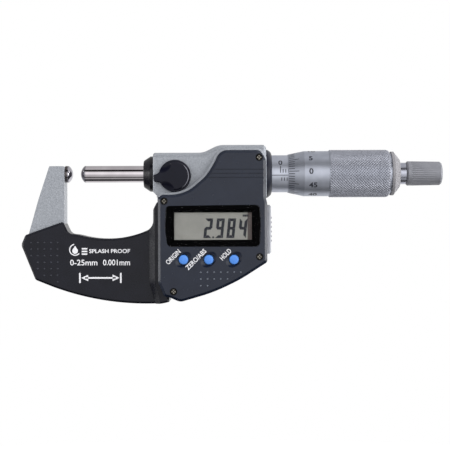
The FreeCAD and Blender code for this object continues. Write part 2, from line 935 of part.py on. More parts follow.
def ratchet_stem():
    """Screw that clamps the end cap and carries the ratchet."""
    return turned([
        (116.2, 0),
        (116.2, 1.58),
        (CAP_X + 0.05, 1.58),
        (CAP_X + 0.05, 4.12),
        (RATCHET_X[0] - 0.15, 4.12),
        (RATCHET_X[0] - 0.15, 1.6),
        (138.4, 1.6),
        (138.4, 0),
    ])


def ratchet_wheel():
    """Toothed disc fixed to the stem."""
    disc = turned([(129.2, 1.62), (129.2, 3.0), (130.3, 3.0), (130.3, 1.62)])
    notches = []
    for i in range(12):
        notch = box((129.9, 131), (-0.25, 0.25), (2.2, 3.2))
        notch.rotate(V(0, 0, 0), X_AXIS, 30 * i)
        notches.append(notch)
    return disc.cut(Part.makeCompound(notches))


def ratchet_pawl():
    """Ring that rides the toothed disc."""
    return turned([(130.4, 1.75), (130.4, 3.1), (131.6, 3.1), (131.6, 1.75)])


def ratchet_springs():
    """Stack of cone-shaped disc springs that press the pawl ring forwards."""
    discs = []
    for i in range(4):
        inner_x, outer_x = (0, 1.0) if i % 2 else (1.0, 0)
        x = 132.0 + 1.5 * i
        discs.append(turned([
            (x + inner_x, 1.75),
            (x + outer_x, 2.95),
            (x + outer_x + 0.25, 2.95),
            (x + inner_x + 0.25, 1.75),
        ]))
    return Part.makeCompound(discs)


def ratchet_knob():
    """Fluted knob with a domed end."""
    start, end = RATCHET_X
    body = turned([
        (start, 1.8),
        (start, 4.0),
        (start + 0.6, 4.65),
        (end - 0.9, 4.46),
        (end - 0.3, 4.0),
        (end, 3.1),
        (end, 0),
        (138.6, 0),
        (138.6, 3.25),
        (129.0, 3.25),
        (128.9, 1.8),
    ])
    flutes = []
    for i in range(FLUTES):
        flute = rod_x(start + 1.9, end - 1.0, 0.22, 0, 4.65)
        flute.rotate(V(0, 0, 0), X_AXIS, 360 * i / FLUTES)
        flutes.append(flute)
    return body.cut(Part.makeCompound(flutes))


# ---- assembly ---------------------------------------------------------------

def all_nodes():
    casting = frame_casting()
    nodes = {
        "frame_casting": casting,
        "anvil": anvil(),
        "anvil_tip": carbide_tip(0, -1),
        "front_grip_cover": grip_shell(-1, casting),
        "rear_grip_cover": grip_shell(1, casting),
        "front_housing": front_housing(casting),
        "rear_housing": rear_housing(casting),
        "front_cover_screws": cover_screws(-1),
        "rear_cover_screws": cover_screws(1),
        "front_gasket": gasket(-1, casting),
        "rear_gasket": gasket(1, casting),
        "display_window": display_window(),
        "display_mask": display_mask(),
        "lcd_panel": lcd_panel(),
        "lcd_connectors": lcd_connectors(),
        "circuit_board": circuit_board(),
        "board_components": board_components(),
        "keypad_rubber": keypad_rubber(),
        "key_contacts": key_contacts(),
        "battery_cell": battery_cell(),
        "battery_holder": battery_holder(),
        "battery_contact_minus": battery_contact_minus(),
        "battery_contact_plus": battery_contact_plus(),
        "battery_cap": battery_cap(),
        "battery_cap_seal": battery_cap_seal(),
        "port_cover": port_cover(),
        "port_cover_screws": port_cover_screws(),
        "data_port": data_port(),
        "port_pins": port_pins(),
        "spindle_bush": spindle_bush(),
        "spindle_seal_cap": spindle_seal_cap(),
        "wiper_seal": wiper_seal(),
        "clamp_knob": clamp_knob(),
        "clamp_stem": clamp_stem(),
        "clamp_shoe": clamp_shoe(),
        "clamp_seal": clamp_seal(),
        "encoder_stator": encoder_stator(),
        "encoder_flex": encoder_flex(),
        "encoder_rotor": encoder_rotor(),
        "rotor_key": rotor_key(),
        "rotor_bearing": rotor_bearing(),
        "inner_sleeve": inner_sleeve(),
        "outer_sleeve": outer_sleeve(),
        "sleeve_collar": sleeve_collar(),
        "adjusting_nut": adjusting_nut(),
        "spindle": spindle(),
        "spindle_tip": carbide_tip(READING, 1),
        "thimble": thimble(),
        "thimble_end_cap": thimble_end_cap(),
        "ratchet_stem": ratchet_stem(),
        "ratchet_wheel": ratchet_wheel(),
        "ratchet_pawl": ratchet_pawl(),
        "ratchet_springs": ratchet_springs(),
        "ratchet_knob": ratchet_knob(),
    }
    for node, x in zip(BUTTON_NODES, BUTTON_X):
        nodes[node] = button(x)
    return nodes


def main():
    os.makedirs("parts", exist_ok=True)
    for node, shape in all_nodes().items():
        shape.exportStep("parts/%s.step" % node)


main()
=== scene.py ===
"""Looks of the digital outside micrometer: finishes, markings, knurl, studio and camera."""
import json
import math

import bmesh
import bpy
from mathutils import Matrix, Vector


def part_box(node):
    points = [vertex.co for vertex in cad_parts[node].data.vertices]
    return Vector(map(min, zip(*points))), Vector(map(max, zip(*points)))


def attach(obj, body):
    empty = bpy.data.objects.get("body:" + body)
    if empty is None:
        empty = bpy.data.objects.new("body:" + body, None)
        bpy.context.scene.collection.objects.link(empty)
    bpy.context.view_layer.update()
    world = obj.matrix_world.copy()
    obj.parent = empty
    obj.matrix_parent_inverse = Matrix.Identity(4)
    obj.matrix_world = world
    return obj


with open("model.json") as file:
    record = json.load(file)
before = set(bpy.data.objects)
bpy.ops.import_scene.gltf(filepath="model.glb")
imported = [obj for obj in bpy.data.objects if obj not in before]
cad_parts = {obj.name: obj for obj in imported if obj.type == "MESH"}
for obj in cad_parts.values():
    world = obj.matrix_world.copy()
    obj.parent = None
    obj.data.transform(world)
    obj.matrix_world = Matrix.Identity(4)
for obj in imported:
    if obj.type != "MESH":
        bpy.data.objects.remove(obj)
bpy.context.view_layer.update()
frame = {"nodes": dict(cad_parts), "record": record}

nodes = frame["nodes"]
MM = 0.001


def size_mm(node):
    """Lowest and highest corner of a CAD node, in millimetres."""
    low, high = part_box(node)
    return Vector(low) / MM, Vector(high) / MM


# ---- shader helpers ---------------------------------------------------------

def srgb(red, green, blue):
    """Linear colour of a 0-255 display colour."""
    def linear(level):
        level /= 255
        if level <= 0.04045:
            return level / 12.92
        return ((level + 0.055) / 1.055) ** 2.4
    return (linear(red), linear(green), linear(blue), 1.0)


class Shader:
    """A Principled material with short calls for what it is built from."""

    def __init__(self, name):
        self.material = bpy.data.materials.new(name)
        self.material.use_nodes = True
        self.tree = self.material.node_tree
        self.surface = self.tree.nodes["Principled BSDF"]

    def add(self, kind, **inputs):
        """New node with its inputs set or linked; _ stands for a space in their names."""
        made = self.tree.nodes.new(kind)
        for name, value in inputs.items():
            self.set(made, name.replace("_", " "), value)
        return made

    def set(self, made, name, value):
        """Sets an input to a value, or links it to a socket."""
        if isinstance(value, bpy.types.NodeSocket):
            self.tree.links.new(value, made.inputs[name])
        else:
            made.inputs[name].default_value = value

    def put(self, **inputs):
        """Sets or links sockets of the Principled shader."""
        for name, value in inputs.items():
            self.set(self.surface, name.replace("_", " "), value)

    def place(self):
        """The object's own coordinates."""
        return self.add("ShaderNodeTexCoord").outputs["Object"]

    def noise(self, feature_mm, detail=3.0):
        """Cloudy pattern with features about feature_mm across."""
        return self.add(
            "ShaderNodeTexNoise", Vector=self.place(), Scale=1 / (feature_mm * MM),
            Detail=detail, Roughness=0.5).outputs["Fac"]

    def cells(self, feature_mm):
        """Distance to the nearest of a scatter of points, as in hammered paint."""
        made = self.add("ShaderNodeTexVoronoi", Vector=self.place(), Scale=1 / (feature_mm * MM))
        made.feature = "SMOOTH_F1"
        made.inputs["Smoothness"].default_value = 0.6
        return made.outputs["Distance"]

    def rings(self, feature_mm):
        """Turning marks: a pattern that only changes along the measuring axis."""
        place = self.add("ShaderNodeSeparateXYZ", Vector=self.place()).outputs["X"]
        made = self.add("ShaderNodeTexNoise", Scale=1 / (feature_mm * MM), Detail=2.0)
        made.noise_dimensions = "1D"
        self.set(made, "W", place)
        return made.outputs["Fac"]

    def span(self, value, low, high, start=0.3, end=0.7):
        """Maps start to end of a pattern to low to high."""
        limits = {"From_Min": start, "From_Max": end, "To_Min": low, "To_Max": high}
        return self.add("ShaderNodeMapRange", Value=value, **limits).outputs["Result"]

    def blend(self, factor, dark, light):
        """Colour between dark and light."""
        made = self.tree.nodes.new("ShaderNodeMix")
        made.data_type = "RGBA"
        colour_a, colour_b = [s for s in made.inputs if s.type == "RGBA"]
        self.tree.links.new(factor, made.inputs[0])
        for socket, value in ((colour_a, dark), (colour_b, light)):
            if isinstance(value, bpy.types.NodeSocket):
                self.tree.links.new(value, socket)
            else:
                socket.default_value = value
        return next(s for s in made.outputs if s.type == "RGBA")

    def relief(self, height, depth_mm, edge_mm=0.0):
        """Bumps of that depth, over edges softened by edge_mm."""
        made = self.add("ShaderNodeBump", Height=height, Distance=depth_mm * MM, Strength=1.0)
        if edge_mm:
            self.set(made, "Normal", self.soft_edge(edge_mm))
        return made.outputs["Normal"]

    def soft_edge(self, edge_mm):
        """Normal that rounds the edges over edge_mm."""
        edge = self.add("ShaderNodeBevel", Radius=edge_mm * MM)
        edge.samples = 4
        return edge.outputs["Normal"]

    def wear(self, edge_mm):
        """1 on a sharp edge and 0 on the flats; it places the painted shade on the edges."""
        flat = self.add("ShaderNodeNewGeometry").outputs["Normal"]
        product = self.tree.nodes.new("ShaderNodeVectorMath")
        product.operation = "DOT_PRODUCT"
        self.tree.links.new(self.soft_edge(edge_mm), product.inputs[0])
        self.tree.links.new(flat, product.inputs[1])
        return self.span(product.outputs["Value"], 1.0, 0.0, 0.9, 0.995)


# ---- kinds of finish --------------------------------------------------------

def plastic(name, dark, light, rough, grain_mm, grain_depth, edge_mm=0.15, edge_shade_colour=None, **more):
    """Moulded plastic: slight cloudiness, fine grain and edges that catch the light, with painted
    shade darkening the sharp edges when a shade colour is given.
    """
    cloud_mm, sheen_mm = 6.0, 2.5
    make = Shader(name)
    colour = make.blend(make.span(make.noise(cloud_mm), 0, 1), dark, light)
    # Painted shade: with a shade colour given, the sharp edges are darkened towards it.
    if edge_shade_colour:
        colour = make.blend(make.wear(edge_mm), colour, edge_shade_colour)
    grain = make.noise(grain_mm, detail=2.0)
    make.put(
        Base_Color=colour, Roughness=make.span(make.noise(sheen_mm), rough[0], rough[1]),
        Normal=make.relief(grain, grain_depth, edge_mm), **more)
    return make.material


def turned_metal(name, dark, light, rough, ring_mm, ring_depth, edge_mm=0.08):
    """Ground or turned steel: rings round the measuring axis and a little cloudiness."""
    cloud_mm = 4.0
    make = Shader(name)
    rings = make.rings(ring_mm)
    tone = make.span(make.noise(cloud_mm), 0, 1)
    make.put(
        Base_Color=make.blend(tone, dark, light), Metallic=1.0,
        Roughness=make.span(rings, rough[0], rough[1]),
        Normal=make.relief(rings, ring_depth, edge_mm))
    return make.material


def plain_metal(name, dark, light, rough, grain_mm=0.4, depth=0.004):
    """Pressed, plated or sintered metal with a fine grain."""
    cloud_mm, edge_mm = 2.0, 0.08
    make = Shader(name)
    grain = make.noise(grain_mm)
    make.put(
        Base_Color=make.blend(make.span(make.noise(cloud_mm), 0, 1), dark, light), Metallic=1.0,
        Roughness=make.span(grain, rough[0], rough[1]),
        Normal=make.relief(grain, depth, edge_mm))
    return make.material


def hammered_paint():
    """Silver paint over a rough casting."""
    cell_mm, speckle_mm, cloud_mm = 0.55, 0.35, 9.0
    cell_depth, edge_mm = 0.05, 0.25
    make = Shader("silver_hammered_paint")
    cells = make.cells(cell_mm)
    speckle = make.noise(speckle_mm, detail=4.0)
    tone = make.blend(make.span(speckle, 0, 1), srgb(128, 132, 139), srgb(172, 176, 183))
    tone = make.blend(make.span(make.noise(cloud_mm), 0, 0.25), tone, srgb(140, 143, 150))
    make.put(
        Base_Color=tone, Metallic=0.35, Roughness=make.span(speckle, 0.36, 0.54),
        Normal=make.relief(cells, cell_depth, edge_mm), Coat_Weight=0.10, Coat_Roughness=0.3)
    return make.material


def display_glass():
    """LCD glass: green-grey, warmer towards its right-hand end."""
    make = Shader("display_glass")
    warm_width, warm_fade = 2.8, 0.35
    along = make.add("ShaderNodeSeparateXYZ", Vector=make.place()).outputs["X"]
    start = size_mm("lcd_panel")[1].x - warm_width
    warm = make.span(along, 0, 1, start * MM, (start + warm_fade) * MM)
    cloud = make.span(make.noise(5.0), 0, 1)
    field = make.blend(cloud, srgb(152, 152, 147), srgb(163, 163, 157))
    make.put(
        Base_Color=make.blend(warm, field, srgb(86, 76, 74)), Roughness=0.4,
        Normal=make.relief(make.noise(0.1), 0.002))
    return make.material


def window_plate():
    """Clear hard-coated plate over the display."""
    make = Shader("clear_window")
    make.put(
        Base_Color=(0.004, 0.004, 0.005, 1), Alpha=0.10, IOR=1.49, Specular_IOR_Level=0.1,
        Roughness=make.span(make.noise(3.0), 0.02, 0.06))
    return make.material


def board_green():
    """Solder mask with fine copper tracks under it."""
    track_pitch = 1.3
    make = Shader("circuit_board")
    tracks = make.add(
        "ShaderNodeTexWave", Vector=make.place(), Scale=1 / (track_pitch * MM), Distortion=3.0)
    over_track = make.span(tracks.outputs["Fac"], 0, 1, 0.45, 0.55)
    make.put(
        Base_Color=make.blend(over_track, srgb(18, 72, 40), srgb(40, 108, 62)),
        Roughness=0.4, Normal=make.relief(tracks.outputs["Fac"], 0.02, 0.05))
    return make.material


def ink(name, dark, light, rough=0.55):
    """Printed or filled marking."""
    make = Shader(name)
    make.put(
        Base_Color=make.blend(make.span(make.noise(0.3), 0, 1), dark, light),
        Roughness=rough, Normal=make.relief(make.noise(0.06), 0.002))
    return make.material


# ---- finishes by material slot, and those of single pieces ------------------

FINISHES = {
    "cast_frame": hammered_paint(),
    "carbide": plain_metal(
        "carbide", srgb(136, 134, 140), srgb(164, 162, 168), (0.03, 0.06), 0.3, 0.0005),
    "ground_steel": turned_metal(
        "ground_steel", srgb(200, 194, 198), srgb(218, 212, 216), (0.04, 0.07), 0.12, 0.0004),
    "satin_steel": turned_metal(
        "satin_chrome", srgb(186, 190, 202), srgb(200, 204, 216), (0.42, 0.50), 0.10, 0.001),
    "hardened_steel": plain_metal(
        "hardened_steel", srgb(120, 120, 124), srgb(150, 150, 154), (0.3, 0.45)),
    # The grip's sharp edges get painted shade, nearly black (srgb 2, 2, 4).
    "grip_plastic": plastic(
        "grip_plastic", srgb(14, 15, 24), srgb(19, 20, 30), (0.24, 0.32), 0.18, 0.004,
        0.3, srgb(2, 2, 4), Specular_IOR_Level=0.25),
    "housing_plastic": plastic(
        "housing_plastic", srgb(16, 23, 39), srgb(21, 28, 44), (0.20, 0.28), 0.15, 0.003,
        0.12, Specular_IOR_Level=0.37),
    "black_screw": plain_metal(
        "blackened_screw", srgb(14, 13, 13), srgb(26, 24, 22), (0.30, 0.40), 0.35, 0.01),
    "seal_rubber": plastic(
        "seal_rubber", srgb(24, 24, 26), srgb(32, 32, 34), (0.7, 0.85), 0.2, 0.01),
    "lens": window_plate(),
    "black_print": plastic(
        "black_print", srgb(1, 1, 2), srgb(3, 3, 4), (0.35, 0.45), 0.3, 0.002,
        Specular_IOR_Level=0.02),
    "lcd": display_glass(),
    "board": board_green(),
    "chip": plastic(
        "chip_resin", srgb(30, 30, 32), srgb(42, 42, 44), (0.55, 0.7), 0.1, 0.006),
    "contact_metal": plain_metal(
        "gold_contact", srgb(196, 164, 96), srgb(222, 190, 120), (0.2, 0.35)),
    "blue_key": plastic(
        "blue_key", srgb(68, 128, 212), srgb(80, 140, 222), (0.35, 0.45), 0.25, 0.004, 0.25),
    "cell_metal": plain_metal(
        "nickel_cell", srgb(186, 186, 182), srgb(206, 206, 202), (0.18, 0.3)),
    "white_plastic": plastic(
        "white_plastic", srgb(214, 214, 208), srgb(228, 228, 222), (0.5, 0.6), 0.3, 0.005),
    "port_plastic": plastic(
        "port_plastic", srgb(150, 152, 160), srgb(172, 174, 180), (0.5, 0.62), 0.2, 0.006),
    "clamp_plastic": plastic(
        "clamp_plastic", srgb(13, 14, 25), srgb(17, 18, 30), (0.15, 0.19), 0.2, 0.001, 0.12,
        Specular_IOR_Level=0.16),
    "black_nylon": plastic(
        "black_nylon", srgb(14, 13, 19), srgb(21, 20, 28), (0.22, 0.32), 0.2, 0.003, 0.12,
        Specular_IOR_Level=0.34),
    "bush_bronze": plain_metal(
        "bush_bronze", srgb(150, 112, 64), srgb(176, 136, 82), (0.25, 0.4)),
    "encoder_board": plastic(
        "encoder_board", srgb(28, 66, 44), srgb(38, 82, 56), (0.4, 0.5), 0.3, 0.004),
    "knob_plastic": plastic(
        "knob_satin", srgb(127, 128, 135), srgb(139, 140, 147), (0.42, 0.55), 0.12, 0.004, 0.12,
        Metallic=0.35),
    "spring_steel": plain_metal(
        "spring_steel", srgb(150, 150, 154), srgb(176, 176, 180), (0.15, 0.3)),
}
MARK_BLACK = ink("filled_graduation", srgb(26, 28, 38), srgb(40, 42, 52))
PRINT_WHITE = ink("white_printing", srgb(222, 222, 226), srgb(236, 236, 240))
DOT_BLACK = plastic("grip_dot", srgb(40, 41, 50), srgb(50, 52, 62), (0.30, 0.40), 0.2, 0.002)
DOT_GREY = plastic("housing_dot", srgb(82, 87, 98), srgb(96, 101, 112), (0.30, 0.40), 0.2, 0.002)
LCD_SEGMENT = ink("lcd_segment", srgb(20, 24, 36), srgb(28, 32, 46), 0.35)
END_CAP = plastic(
    "matte_end_cap", srgb(142, 141, 145), srgb(149, 148, 152), (0.55, 0.62), 0.15, 0.003, 0.12,
    Metallic=0.25, Specular_IOR_Level=0.2)
BARREL = turned_metal(
    "satin_barrel", srgb(172, 176, 188), srgb(186, 190, 202), (0.40, 0.48), 0.10, 0.001)
KNURL = turned_metal(
    "knurl_chrome", srgb(168, 170, 180), srgb(178, 180, 190), (0.46, 0.50), 0.5, 0.0003, 0.0)
NECK = turned_metal(
    "satin_neck", srgb(164, 166, 178), srgb(178, 180, 192), (0.24, 0.32), 0.10, 0.001)
ANVIL_SHANK = turned_metal(
    "dark_shank", srgb(84, 78, 78), srgb(104, 98, 98), (0.16, 0.24), 0.12, 0.001)
COLLAR = plastic(
    "navy_collar", srgb(8, 12, 28), srgb(12, 17, 34), (0.38, 0.46), 0.2, 0.003, 0.12,
    Specular_IOR_Level=0.3)
# Painted highlight: the colour of the glints painted on the screw heads.
SCREW_GLINT = plain_metal(
    "painted_glint_steel", srgb(84, 80, 74), srgb(150, 146, 138), (0.2, 0.4), 0.3, 0.004)
# Painted highlight: the colour of the bright line painted along the clamp knob's crown.
CLAMP_HIGHLIGHT = plastic(
    "painted_clamp_highlight", srgb(118, 118, 126), srgb(140, 140, 148), (0.3, 0.4), 0.3, 0.002, 0.05)
OWN_FINISH = {
    "thimble_end_cap": END_CAP,
    "thimble": BARREL,
    "ratchet_stem": NECK,
    "anvil": ANVIL_SHANK,
    "sleeve_collar": COLLAR,
}


def give(item, finish):
    """Makes a finish the only one of an object."""
    item.data.materials.clear()
    item.data.materials.append(finish)


def dress_nodes():
    """Gives every CAD node its finish."""
    for part in frame["record"]["subparts"]:
        finish = OWN_FINISH.get(part["node"], FINISHES[part["material_slot"]])
        for place in nodes[part["node"]].material_slots:
            place.material = finish


# ---- mesh helpers -----------------------------------------------------------

def piece(name, mesh_data, body, finish):
    """A mesh in millimetres becomes a piece that rides on a CAD body."""
    mesh_data.transform(Matrix.Scale(MM, 4))
    item = bpy.data.objects.new(name, mesh_data)
    bpy.context.collection.objects.link(item)
    give(item, finish)
    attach(item, body)
    return item


def from_faces(name, points, faces):
    """Mesh data from points in millimetres and faces by point number."""
    made = bpy.data.meshes.new(name)
    made.from_pydata(points, [], faces)
    made.validate()
    made.update()
    return made


def joined(name, meshes):
    """One mesh out of several."""
    bm = bmesh.new()
    for part in meshes:
        bm.from_mesh(part)
    made = bpy.data.meshes.new(name)
    bm.to_mesh(made)
    bm.free()
    for part in meshes:
        bpy.data.meshes.remove(part)
    return made


def lettering(body, height, stretch=1.0, weight=0.0):
    """Flat text mesh in its own XY plane, centred, with that cap height in mm."""
    curve = bpy.data.curves.new("lettering", "FONT")
    curve.body = body
    curve.offset = weight
    curve.resolution_u = 4
    item = bpy.data.objects.new("lettering", curve)
    bpy.context.collection.objects.link(item)
    view = bpy.context.evaluated_depsgraph_get()
    flat = bpy.data.meshes.new_from_object(item.evaluated_get(view))
    bpy.data.objects.remove(item)
    xs = [v.co.x for v in flat.vertices]
    ys = [v.co.y for v in flat.vertices]
    scale = height / (max(ys) - min(ys))
    middle = Vector(((max(xs) + min(xs)) / 2, (max(ys) + min(ys)) / 2, 0))
    size = Matrix.Diagonal((scale * stretch, scale, scale, 1))
    flat.transform(size @ Matrix.Translation(-middle))
    return flat


def polygon(points):
    """Flat mesh of one outline in the XY plane."""
    return from_faces("outline", [(x, y, 0) for x, y in points], [tuple(range(len(points)))])


def moved(flat, x, y, turn=0.0):
    """Turns a flat mesh about its own middle and then shifts it."""
    flat.transform(Matrix.Translation((x, y, 0)) @ Matrix.Rotation(turn, 4, "Z"))
    return flat


def on_front(flat, depth):
    """Stands a flat XY mesh up on a plane that faces -Y."""
    for vertex in flat.vertices:
        vertex.co = Vector((vertex.co.x, depth, vertex.co.y))
    return flat


def fine_cut(flat, step):
    """Cuts a flat mesh into strips, so that it can follow a curve."""
    bm = bmesh.new()
    bm.from_mesh(flat)
    ys = [v.co.y for v in bm.verts]
    level = min(ys) + step
    while level < max(ys):
        bmesh.ops.bisect_plane(
            bm, geom=bm.verts[:] + bm.edges[:] + bm.faces[:],
            plane_co=(0, level, 0), plane_no=(0, 1, 0))
        level += step
    bm.to_mesh(flat)
    bm.free()
    return flat


def round_axis(flat, radius_at, angle):
    """Wraps a flat mesh round the measuring axis: its X stays and its Y runs up round the axis.

    angle is that of the mesh's Y = 0 above the front, in radians."""
    proud, strip = 0.012, 0.25
    fine_cut(flat, strip)
    middle = sum(v.co.x for v in flat.vertices) / len(flat.vertices)
    reference = radius_at(middle)
    for vertex in flat.vertices:
        radius = radius_at(vertex.co.x) + proud
        turn = angle + vertex.co.y / reference
        vertex.co = Vector((vertex.co.x, -radius * math.cos(turn), radius * math.sin(turn)))
    return flat


def bar(x_span, y_span):
    """Flat rectangle in the XY plane."""
    (left, right), (foot, top) = x_span, y_span
    return polygon([(left, foot), (right, foot), (right, top), (left, top)])


# ---- graduations ------------------------------------------------------------

READING = 2.984
SLEEVE_R = size_mm("outer_sleeve")[1].z
SLEEVE_END = size_mm("outer_sleeve")[1].x
THIMBLE_START = size_mm("thimble")[0].x
ZERO_X = THIMBLE_START - READING
INDEX_ANGLE = math.radians(-6.8)
CONE_END = 87.9
CONE_R = (7.25, 8.6)


def sleeve_radius(x):
    """The sleeve is a plain cylinder."""
    return SLEEVE_R


def thimble_radius(x):
    """The thimble widens along its cone and then stays the same."""
    share = min(max((x - THIMBLE_START) / (CONE_END - THIMBLE_START), 0), 1)
    return CONE_R[0] + (CONE_R[1] - CONE_R[0]) * share


def sleeve_graduation():
    """Index line, millimetres above it and half millimetres below it, 0 to 25."""
    last, numbered_every = 25, 5
    line_half, half_mm_half = 0.15, 0.14
    line_foot, short_top, long_top = 0.95, 2.3, 3.5
    start = size_mm("sleeve_collar")[1].x
    flats = [bar((start, SLEEVE_END - 0.4), (-0.12, 0.12))]
    for mark in range(last + 1):
        x = ZERO_X + mark
        numbered = mark % numbered_every == 0
        top = long_top if numbered else short_top
        flats.append(bar((x - line_half, x + line_half), (line_foot, top)))
        if mark < last:
            middle = x + 0.5
            flats.append(bar((middle - half_mm_half, middle + half_mm_half), (-2.15, -0.85)))
        if numbered:
            number = lettering(str(mark), height=2.1, stretch=1.1, weight=0.02)
            flats.append(moved(number, x, 5.0))
    wrapped = [round_axis(flat, sleeve_radius, INDEX_ANGLE) for flat in flats]
    made = joined("sleeve_graduation", wrapped)
    return piece("sleeve_graduation", made, "frame", MARK_BLACK)


def thimble_graduation():
    """Fifty lines on the cone, numbered in fives round the barrel."""
    lines, numbered_every = 50, 5
    division, number_drop = 2 * math.pi / lines, math.radians(0.7)
    line_half, edge_gap, short_line, long_line = 0.13, 0.25, 2.4, 4.0
    number_left = 89.5
    shown = READING % 0.5 / 0.01
    parts = []
    for mark in range(lines):
        angle = INDEX_ANGLE + (mark - shown) * division
        numbered = mark % numbered_every == 0
        end = THIMBLE_START + (long_line if numbered else short_line)
        line = bar((THIMBLE_START + edge_gap, end), (-line_half, line_half))
        parts.append(round_axis(line, thimble_radius, angle))
        if numbered:
            number = lettering(str(mark), height=2.2, stretch=1.1, weight=0.03)
            half_width = max(v.co.x for v in number.vertices)
            number = moved(number, number_left + half_width, 0)
            parts.append(round_axis(number, thimble_radius, angle - number_drop))
    made = joined("thimble_graduation", parts)
    return piece("thimble_graduation", made, "spindle", MARK_BLACK)


# ---- knurl ------------------------------------------------------------------

def knurl_band():
    """Diamond knurl: rows of small pyramids between two families of crossing grooves."""
    start, end, runout = 97.4, 120.03, 119.2
    valley, height = 8.76, 0.30
    fall, flat_end = 0.08, 0.85
    around, rows = 54, 44
    end_ring, end_lap = 8.36, 0.02
    step = (end - start) / rows

    def on_ring(row, place, lift, ahead=0):
        """Point of a row, or of the row ahead of it; the band falls off beyond the run-out."""
        angle = (place + 0.5 * (row % 2)) * 2 * math.pi / around
        x = start + (row + ahead) * step
        beyond = max(0, x - runout)
        radius = valley - fall * beyond + lift * (1 - flat_end * beyond / (end - runout))
        return (x, -radius * math.cos(angle), radius * math.sin(angle))

    def index(row, place):
        """Number of a valley point."""
        return row * around + place % around

    points = [on_ring(row, place, 0) for row in range(rows + 1) for place in range(around)]
    faces = []
    for row in range(rows - 1):
        shift = (row + 1) % 2
        for place in range(around):
            low = index(row, place)
            high = index(row + 2, place)
            left = index(row + 1, place - shift)
            right = index(row + 1, place + 1 - shift)
            top = len(points)
            points.append(on_ring(row, place, height, 1))
            faces.extend([(low, right, top), (right, high, top), (high, left, top), (left, low, top)])
    for row, beside in ((0, 1), (rows, rows - 1)):
        for place in range(around):
            first = index(row, place)
            second = index(row, place + 1)
            between = index(beside, place + row % 2)
            faces.append((first, second, between) if row else (second, first, between))
    rim = len(points)
    for place in range(around):
        _, y, z = points[index(rows, place)]
        scale = end_ring / math.hypot(y, z)
        points.append((end + end_lap, y * scale, z * scale))
    for place in range(around):
        after = (place + 1) % around
        faces.append((index(rows, place), index(rows, after), rim + after, rim + place))
    made = from_faces("knurl_band", points, faces)
    bm = bmesh.new()
    bm.from_mesh(made)
    bmesh.ops.recalc_face_normals(bm, faces=bm.faces)
    bm.to_mesh(made)
    bm.free()
    return piece("knurl_band", made, "spindle", KNURL)


# ---- raised dots ------------------------------------------------------------

HOUSING_FACE = size_mm("front_housing")[0].y
# Flat of the grip cover; the ridge beside the housing stands higher.
GRIP_FACE = -5.8


def dots(name, centres, face_y, radius, height, finish):
    """Round-topped bumps on a face that looks along -Y."""
    sides, rings = 16, 4
    points = []
    faces = []
    for x, z in centres:
        base = len(points)
        for ring in range(rings):
            climb = ring / rings * math.pi / 2
            y = face_y - math.sin(climb) * height
            reach = math.cos(climb) * radius
            for side in range(sides):
                angle = side * 2 * math.pi / sides
                points.append((x + reach * math.cos(angle), y, z + reach * math.sin(angle)))
        points.append((x, face_y - height, z))
        for ring in range(rings - 1):
            first = base + ring * sides
            for side in range(sides):
                one = first + side
                two = first + (side + 1) % sides
                faces.append((one, two, two + sides, one + sides))
        last = base + (rings - 1) * sides
        for side in range(sides):
            faces.append((last + side, last + (side + 1) % sides, base + rings * sides))
    made = from_faces(name, points, faces)
    for face in made.polygons:
        face.use_smooth = True
    return piece(name, made, "frame", finish)


def grip_dots():
    """Left-hand field of the grip's bumps, which follows the lower edge."""
    columns, counts = 5, (5, 5, 5, 4, 4, 3, 1)
    left, top = -15.2, -25.95
    pitch_x, pitch_z = 2.5, 2.47
    centres = []
    for row, count in enumerate(counts):
        for place in range(columns - count, columns):
            centres.append((left + pitch_x * place, top - pitch_z * row))
    return dots(
        "grip_dots", centres, GRIP_FACE, radius=0.36, height=0.22,
        finish=DOT_BLACK)


def housing_dots():
    """Field of bumps under the keys, which narrows downwards."""
    left, top = 48.85, -37.0
    pitch_x, pitch_z = 2.48, 2.5
    centres = []
    for row, count in enumerate((7, 5, 2)):
        for place in range(count):
            centres.append((left + pitch_x * place, top - pitch_z * row))
    return dots(
        "housing_dots", centres, HOUSING_FACE, radius=0.33, height=0.16,
        finish=DOT_GREY)


# ---- printing ---------------------------------------------------------------

INK_LIFT = 0.02


def droplet(x, z, height):
    """Outline of a drop of water: round below and pointed above."""
    steps, start, turn = 24, -205, 230
    radius = height * 0.36
    centre = z - height / 2 + radius
    outline = []
    for step in range(steps + 1):
        angle = math.radians(start + turn * step / steps)
        outline.append((x + radius * math.cos(angle), centre + radius * math.sin(angle)))
    outline.append((x, z + height / 2))
    return polygon(outline)


def strip_faces(steps):
    """Faces of a strip whose points come in pairs."""
    return [(2 * i, 2 * i + 1, 2 * i + 3, 2 * i + 2) for i in range(steps)]


def ring_sector(x, z, inner, outer, start, end, steps=24):
    """Curved bar in the XY plane between two radii, with angles in degrees."""
    points = []
    for step in range(steps + 1):
        angle = math.radians(start + (end - start) * step / steps)
        for radius in (inner, outer):
            points.append((x + radius * math.cos(angle), z + radius * math.sin(angle), 0))
    return from_faces("sector", points, strip_faces(steps))


def fitted(text, width, height, x, z, weight):
    """Text centred on x, z and stretched to a width."""
    flat = lettering(text, height, 1.0, weight)
    wide = max(v.co.x for v in flat.vertices) * 2
    flat.transform(Matrix.Diagonal((width / wide, 1, 1, 1)))
    return moved(flat, x, z)


def splash_pictogram():
    """Drop in an open ring, and three bars beside it."""
    x, z = 1.4, -28.7
    bars_left, bars_right, bars_foot = 3.9, 6.0, -30.6
    parts = [ring_sector(x, z, 1.85, 2.25, 100, 320), droplet(x, z, 3.0)]
    for count in range(3):
        foot = bars_foot + count
        parts.append(bar((bars_left, bars_right), (foot, foot + 0.55)))
    return parts


